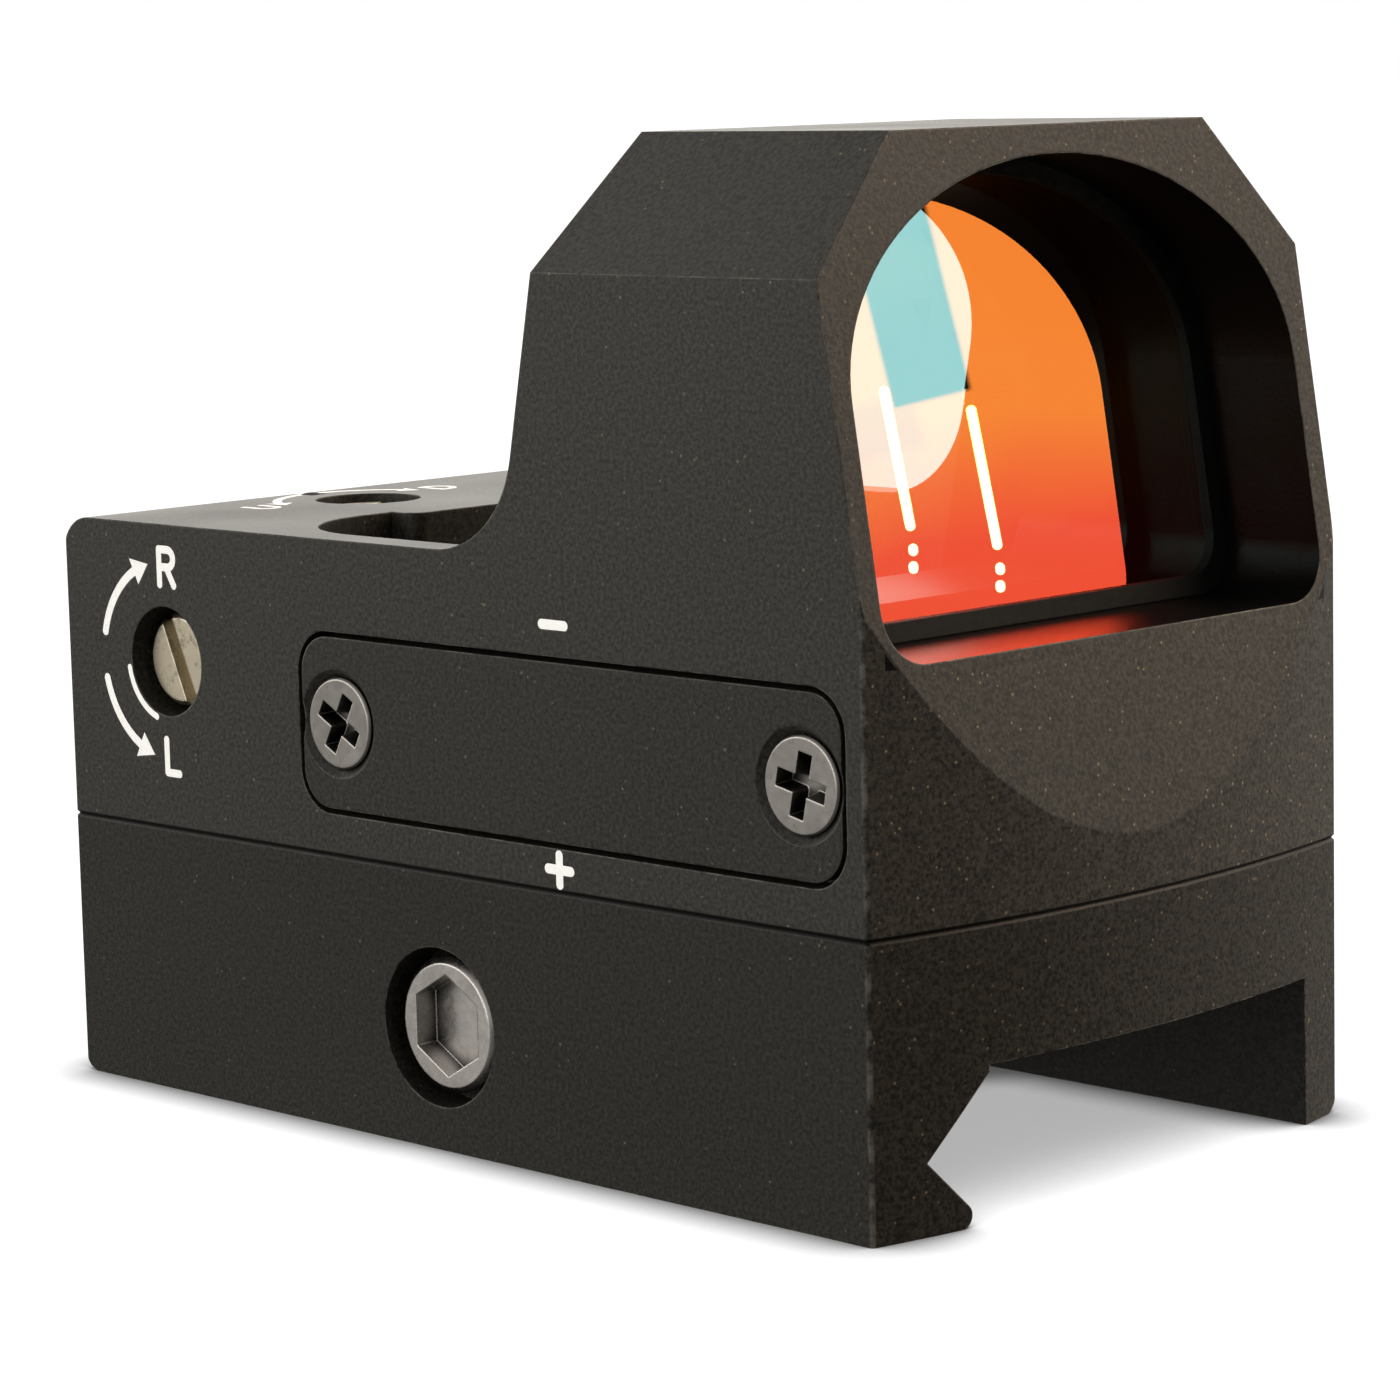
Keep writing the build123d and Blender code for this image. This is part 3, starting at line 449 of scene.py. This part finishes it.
def dress_all():
    dress(housing_finish(), "housing")
    plate = plain_finish("anodised_plate", (0.0115, 0.0105, 0.0088), (0.0195, 0.018, 0.0155),
                         wear=0.4, shine=0.25)
    dress(plate, "battery_cover", "button_ring")
    mount = plain_finish("anodised_mount", (0.009, 0.0082, 0.0068), (0.016, 0.0148, 0.0125),
                         wear=0.6, shine=0.22)
    dress(mount, "mount_base", "clamp_jaw")
    dress(paint(), "windage_marks", "polarity_marks", "elevation_marks")
    dress(rubber(), "lens_seal", "base_gasket", "cover_seal", "windage_o_ring", "elevation_o_ring",
          "power_button", "coin_cell_gasket")
    dress(steel("gunmetal_screw", (0.34, 0.325, 0.31), 0.33), "cover_screws", "base_screws")
    dress(steel("black_chrome_screw", (0.6, 0.575, 0.56), 0.27), "clamp_screw")
    dress(steel("plain_steel", (0.6, 0.6, 0.59), 0.3), "jaw_guide_pin", "base_dowels", "windage_clip",
          "elevation_clip", "coin_cell_can", "coin_cell_cap", "switch_dome", "windage_spring",
          "elevation_spring")
    low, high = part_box("windage_screw")
    centre = (low + high) / 2
    dress(turned_screw("turned_windage", (0.62, 0.56, 0.44), centre, (1, 0, 0)), "windage_screw")
    low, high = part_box("elevation_screw")
    centre = (low + high) / 2
    dress(turned_screw("turned_elevation", (0.62, 0.56, 0.44), centre, (0, 0, 1)), "elevation_screw")
    dress(steel("yellow_brass", (0.72, 0.55, 0.3), 0.32), "windage_follower", "contact_positive",
          "contact_negative")
    dress(steel("milled_aluminium", (0.62, 0.62, 0.63), 0.35), "elevation_slide", "emitter_carriage")
    dress(moulded("black_plastic", (0.015, 0.015, 0.015), (0.03, 0.03, 0.03), 0.5), "battery_tray",
          "board_components", "board_spacers")
    dress(moulded("solder_mask", (0.01, 0.06, 0.025), (0.02, 0.09, 0.04), 0.35), "circuit_board",
          "emitter_board", "switch_board")
    dress(moulded("red_emitter", (0.5, 0.02, 0.015), (0.7, 0.05, 0.03), 0.15), "emitter_chip")
    dress(coated_glass(), "lens_front_element")
    dress(clear_glass(), "lens_rear_element", "emitter_window")


def pressed_spring(node, body):
    """The spring's own piece: a copy of its mesh, attached to the body that carries it."""
    piece = bpy.data.objects.new(node + "_coil", nodes[node].data.copy())
    bpy.context.scene.collection.objects.link(piece)
    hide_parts(node)
    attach(piece, body)
    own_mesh(piece)


def springs():
    pressed_spring("windage_spring", "elevation_slide")
    pressed_spring("elevation_spring", "housing")


# ---- studio -------------------------------------------------------------------------
CONTACT_REACH = 3.4 * MM
SHADE_REACH = 24 * MM


def floor():
    """Plain white table that glows by itself.

    Its shade comes from how enclosed each point is, not from the lights, and it lights nothing."""
    mesh = bpy.data.meshes.new("floor")
    half = 3.0
    corners = [(-half, -half, 0), (half, -half, 0), (half, half, 0), (-half, half, 0)]
    mesh.from_pydata(corners, [], [(0, 1, 2, 3)])
    made = bpy.data.objects.new("floor", mesh)
    bpy.context.scene.collection.objects.link(made)
    g = Graph("floor_white")
    contact = g.ramp(g.occlusion(CONTACT_REACH), 0.5, 0.98, 0.2, 1.0)
    shade = g.ramp(g.occlusion(SHADE_REACH), 0.12, 0.5, 0.44, 1.15)
    glow = g.node("Emission")
    g.link(g.math("MULTIPLY", contact, shade), glow.inputs["Strength"])
    g.link(glow.outputs[0], g.out.inputs["Surface"])
    mesh.materials.append(g.material)
    made.visible_diffuse = False
    made.visible_glossy = False


class Studio(Graph):
    """The world's node tree: light and dark panels placed by direction."""

    def __init__(self):
        self.world = bpy.data.worlds.new("studio")
        bpy.context.scene.world = self.world
        self.world.use_nodes = True
        self.tree = self.world.node_tree
        self.tree.nodes.clear()
        self.out = self.tree.nodes.new("ShaderNodeOutputWorld")
        self.place = self.tree.nodes.new("ShaderNodeTexCoord").outputs["Generated"]

    def along(self, direction):
        made = self.node("VectorMath", operation="DOT_PRODUCT")
        self.link(self.place, made.inputs[0])
        made.inputs[1].default_value = direction
        return made.outputs["Value"]

    def soft_box(self, u, v, low, high, soft):
        """1 inside a rectangle of the panel's (u, v), 0 outside."""
        sides = [self.ramp(u, low[0] - soft, low[0] + soft, 0.0, 1.0),
                 self.ramp(u, high[0] + soft, high[0] - soft, 0.0, 1.0),
                 self.ramp(v, low[1] - soft, low[1] + soft, 0.0, 1.0),
                 self.ramp(v, high[1] + soft, high[1] - soft, 0.0, 1.0)]
        return self.product(sides)

    def product(self, values):
        total = values[0]
        for value in values[1:]:
            total = self.math("MULTIPLY", total, value)
        return total

    def capsule(self, u, v, start, end, radius):
        """1 inside a bar with round ends."""
        du, dv = end[0] - start[0], end[1] - start[1]
        length = math.hypot(du, dv)
        along_u, along_v = du / length, dv / length
        pu = self.math("SUBTRACT", u, start[0])
        pv = self.math("SUBTRACT", v, start[1])
        along = self.math("ADD", self.math("MULTIPLY", pu, along_u), self.math("MULTIPLY", pv, along_v))
        across = self.math("ADD", self.math("MULTIPLY", pu, -along_v), self.math("MULTIPLY", pv, along_u))
        past = self.math("SUBTRACT", along, self.math("MINIMUM", self.math("MAXIMUM", along, 0.0), length))
        distance = self.math("SQRT", self.math("ADD", self.math("MULTIPLY", past, past),
                                               self.math("MULTIPLY", across, across)), 0.0)
        return self.ramp(distance, radius * 1.1, radius * 0.85, 0.0, 1.0)


SIDE_LAMP_PLACE = Vector((40, -60, 14)) * MM
SIDE_LAMP_TARGET = Vector((14, -24, 14)) * MM
SIDE_LAMP_SIZE = 22 * MM
SIDE_LAMP_POWER = 0.024
SIDE_LAMP_COLOUR = (1.0, 0.85, 0.72)

# Panel that the lens reflects, out to the front right: u runs left, v runs up, both as slopes.
PANEL_AIM = Vector((0.7, -0.7, 0.13)).normalized()
PANEL_U = Vector((-1.0, -1.0, 0.0)).normalized()
PANEL_V = PANEL_U.cross(PANEL_AIM)
FLAG_LOW = (-0.0683, 0.0044)
FLAG_HIGH = (-0.0507, 0.2)
HALF_FLAG_LOW = (-0.0555, -0.0055)
HALF_FLAG_HIGH = (-0.02, 0.0070)
LAMP_START = (-0.0495, 0.0087)
LAMP_END = (-0.0479, -0.0216)
LAMP_DOTS = ((-0.0472, -0.0272), (-0.0463, -0.0310))
LAMP_COPY = (-0.0177, -0.0088)       # the second reflection's offset
LAMP_RADIUS = 0.0011
LAMP_STRENGTH = 30.0
SOFT_BOX_LOW = (-0.6, 0.16)          # warm box above the panel
SOFT_BOX_HIGH = (0.4, 0.75)
SOFT_BOX_STRENGTH = 5.8
LENS_VIEW_LOW = (-0.22, -0.2)        # the part of the panel that the lens shows
LENS_VIEW_HIGH = (0.14, 0.3)
FRONT_DIM = 0.7
LEFT_AIM = (-0.94, 0.34, 0.0)
LEFT_WALL = 1.75
LEFT_GROUND = 0.5
REAR_WALL = 1.35
TINT = (1.0, 0.965, 0.9, 1.0)        # the studio's walls are slightly warm
CEILING = 0.36


def world():
    """Light by direction. The camera itself sees plain white behind the object."""
    s = Studio()
    facing = s.math("MAXIMUM", s.along(tuple(PANEL_AIM)), 0.001)
    u = s.math("DIVIDE", s.along(tuple(PANEL_U)), facing)
    v = s.math("DIVIDE", s.along(tuple(PANEL_V)), facing)
    in_front = s.math("GREATER_THAN", facing, 0.5)

    height = s.axis(s.place, "Z")
    left = s.ramp(s.along(LEFT_AIM), 0.1, 1.0, 0.0, 1.0)
    rear_right = s.ramp(s.along((0.707, 0.707, 0.0)), 0.3, 1.0, 0.0, 1.0)
    wall = s.math("ADD", 1.0, s.math("ADD", s.math("MULTIPLY", left, LEFT_WALL),
                                     s.math("MULTIPLY", rear_right, REAR_WALL)))
    wall = s.math("MULTIPLY", wall, s.ramp(height, 0.25, 0.7, 1.0, CEILING))
    seen_by_lens = s.math("MULTIPLY", in_front, s.soft_box(u, v, LENS_VIEW_LOW, LENS_VIEW_HIGH, 0.03))
    front = s.math("MULTIPLY", s.ramp(s.along((0.0, -1.0, 0.0)), 0.1, 0.6, 0.0, FRONT_DIM),
                   s.math("SUBTRACT", 1.0, seen_by_lens))
    wall = s.math("MULTIPLY", wall, s.math("SUBTRACT", 1.0, front))
    ground = s.math("ADD", s.math("MULTIPLY", left, LEFT_GROUND),
                    s.ramp(s.along((1.0, 0.0, 0.0)), 0.6, 1.0, 0.04, 0.6))
    above = s.ramp(height, -0.02, 0.04, 0.0, 1.0)
    light = s.math("ADD", s.math("MULTIPLY", wall, above),
                   s.math("MULTIPLY", ground, s.math("SUBTRACT", 1.0, above)))
    lamp = s.math("MULTIPLY", in_front, s.soft_box(u, v, SOFT_BOX_LOW, SOFT_BOX_HIGH, 0.05))

    flag = s.math("MULTIPLY", in_front, s.soft_box(u, v, FLAG_LOW, FLAG_HIGH, 0.0006))
    half_flag = s.math("MULTIPLY", in_front, s.soft_box(u, v, HALF_FLAG_LOW, HALF_FLAG_HIGH, 0.0012))
    flag = s.math("MAXIMUM", flag, s.math("MULTIPLY", half_flag, 0.3))
    light = s.math("MULTIPLY", light, s.math("SUBTRACT", 1.0, flag))
    bars = None
    for shift in ((0.0, 0.0), LAMP_COPY):
        start = (LAMP_START[0] + shift[0], LAMP_START[1] + shift[1])
        end = (LAMP_END[0] + shift[0], LAMP_END[1] + shift[1])
        shapes = [s.capsule(u, v, start, end, LAMP_RADIUS)]
        for dot in LAMP_DOTS:
            low = (dot[0] + shift[0], dot[1] + shift[1])
            high = (low[0] - 0.0001, low[1] + 0.0006)
            shapes.append(s.capsule(u, v, low, high, LAMP_RADIUS * 0.95))
        for shape in shapes:
            bars = shape if bars is None else s.math("MAXIMUM", bars, shape)
    bars = s.math("MULTIPLY", bars, in_front)
    light = s.math("ADD", light, s.math("MULTIPLY", bars, LAMP_STRENGTH))

    warm = s.node("Background")
    warm.inputs["Color"].default_value = (1.0, 0.78, 0.58, 1.0)
    s.link(s.math("MULTIPLY", lamp, SOFT_BOX_STRENGTH), warm.inputs["Strength"])
    white = s.node("Background")
    white.inputs["Color"].default_value = TINT
    s.link(light, white.inputs["Strength"])
    studio = s.node("AddShader")
    s.link(white.outputs[0], studio.inputs[0])
    s.link(warm.outputs[0], studio.inputs[1])
    plain = s.node("Background")
    plain.inputs["Color"].default_value = (1.0, 1.0, 1.0, 1.0)
    plain.inputs["Strength"].default_value = 1.0
    seen = s.node("LightPath")
    joined = s.node("MixShader")
    s.link(seen.outputs["Is Camera Ray"], joined.inputs[0])
    s.link(studio.outputs[0], joined.inputs[1])
    s.link(plain.outputs[0], joined.inputs[2])
    s.link(joined.outputs[0], s.out.inputs["Surface"])


def side_lamp():
    """A small lamp close to the front right corner: it lights the front from that side."""
    data = bpy.data.lights.new("side_lamp", "AREA")
    data.size = SIDE_LAMP_SIZE
    data.energy = SIDE_LAMP_POWER
    data.color = SIDE_LAMP_COLOUR
    made = bpy.data.objects.new("side_lamp", data)
    made.location = SIDE_LAMP_PLACE
    made.rotation_euler = (SIDE_LAMP_TARGET - SIDE_LAMP_PLACE).to_track_quat("-Z", "Y").to_euler()
    made.visible_camera = False
    made.visible_glossy = False
    bpy.context.scene.collection.objects.link(made)


def camera():
    data = bpy.data.cameras.new("camera")
    data.sensor_width = SENSOR
    data.lens = FOCAL
    data.clip_start = 0.01
    made = bpy.data.objects.new("camera", data)
    azimuth = math.radians(VIEW_AZIMUTH)
    elevation = math.radians(VIEW_ELEVATION)
    back = Vector((math.sin(azimuth) * math.cos(elevation), -math.cos(azimuth) * math.cos(elevation),
                   math.sin(elevation)))
    level = Vector((0, 0, 1)).cross(back).normalized()
    up = back.cross(level)
    roll = math.radians(VIEW_ROLL)
    right = level * math.cos(roll) + up * math.sin(roll)
    up = back.cross(right)
    turn = Matrix((right, up, back)).transposed().to_4x4()
    made.matrix_world = Matrix.Translation(VIEW_TARGET + back * VIEW_DISTANCE) @ turn
    bpy.context.scene.collection.objects.link(made)
    bpy.context.scene.camera = made


bpy.context.scene.view_settings.view_transform = "Standard"
dress_all()
springs()
floor()
world()
side_lamp()
camera()
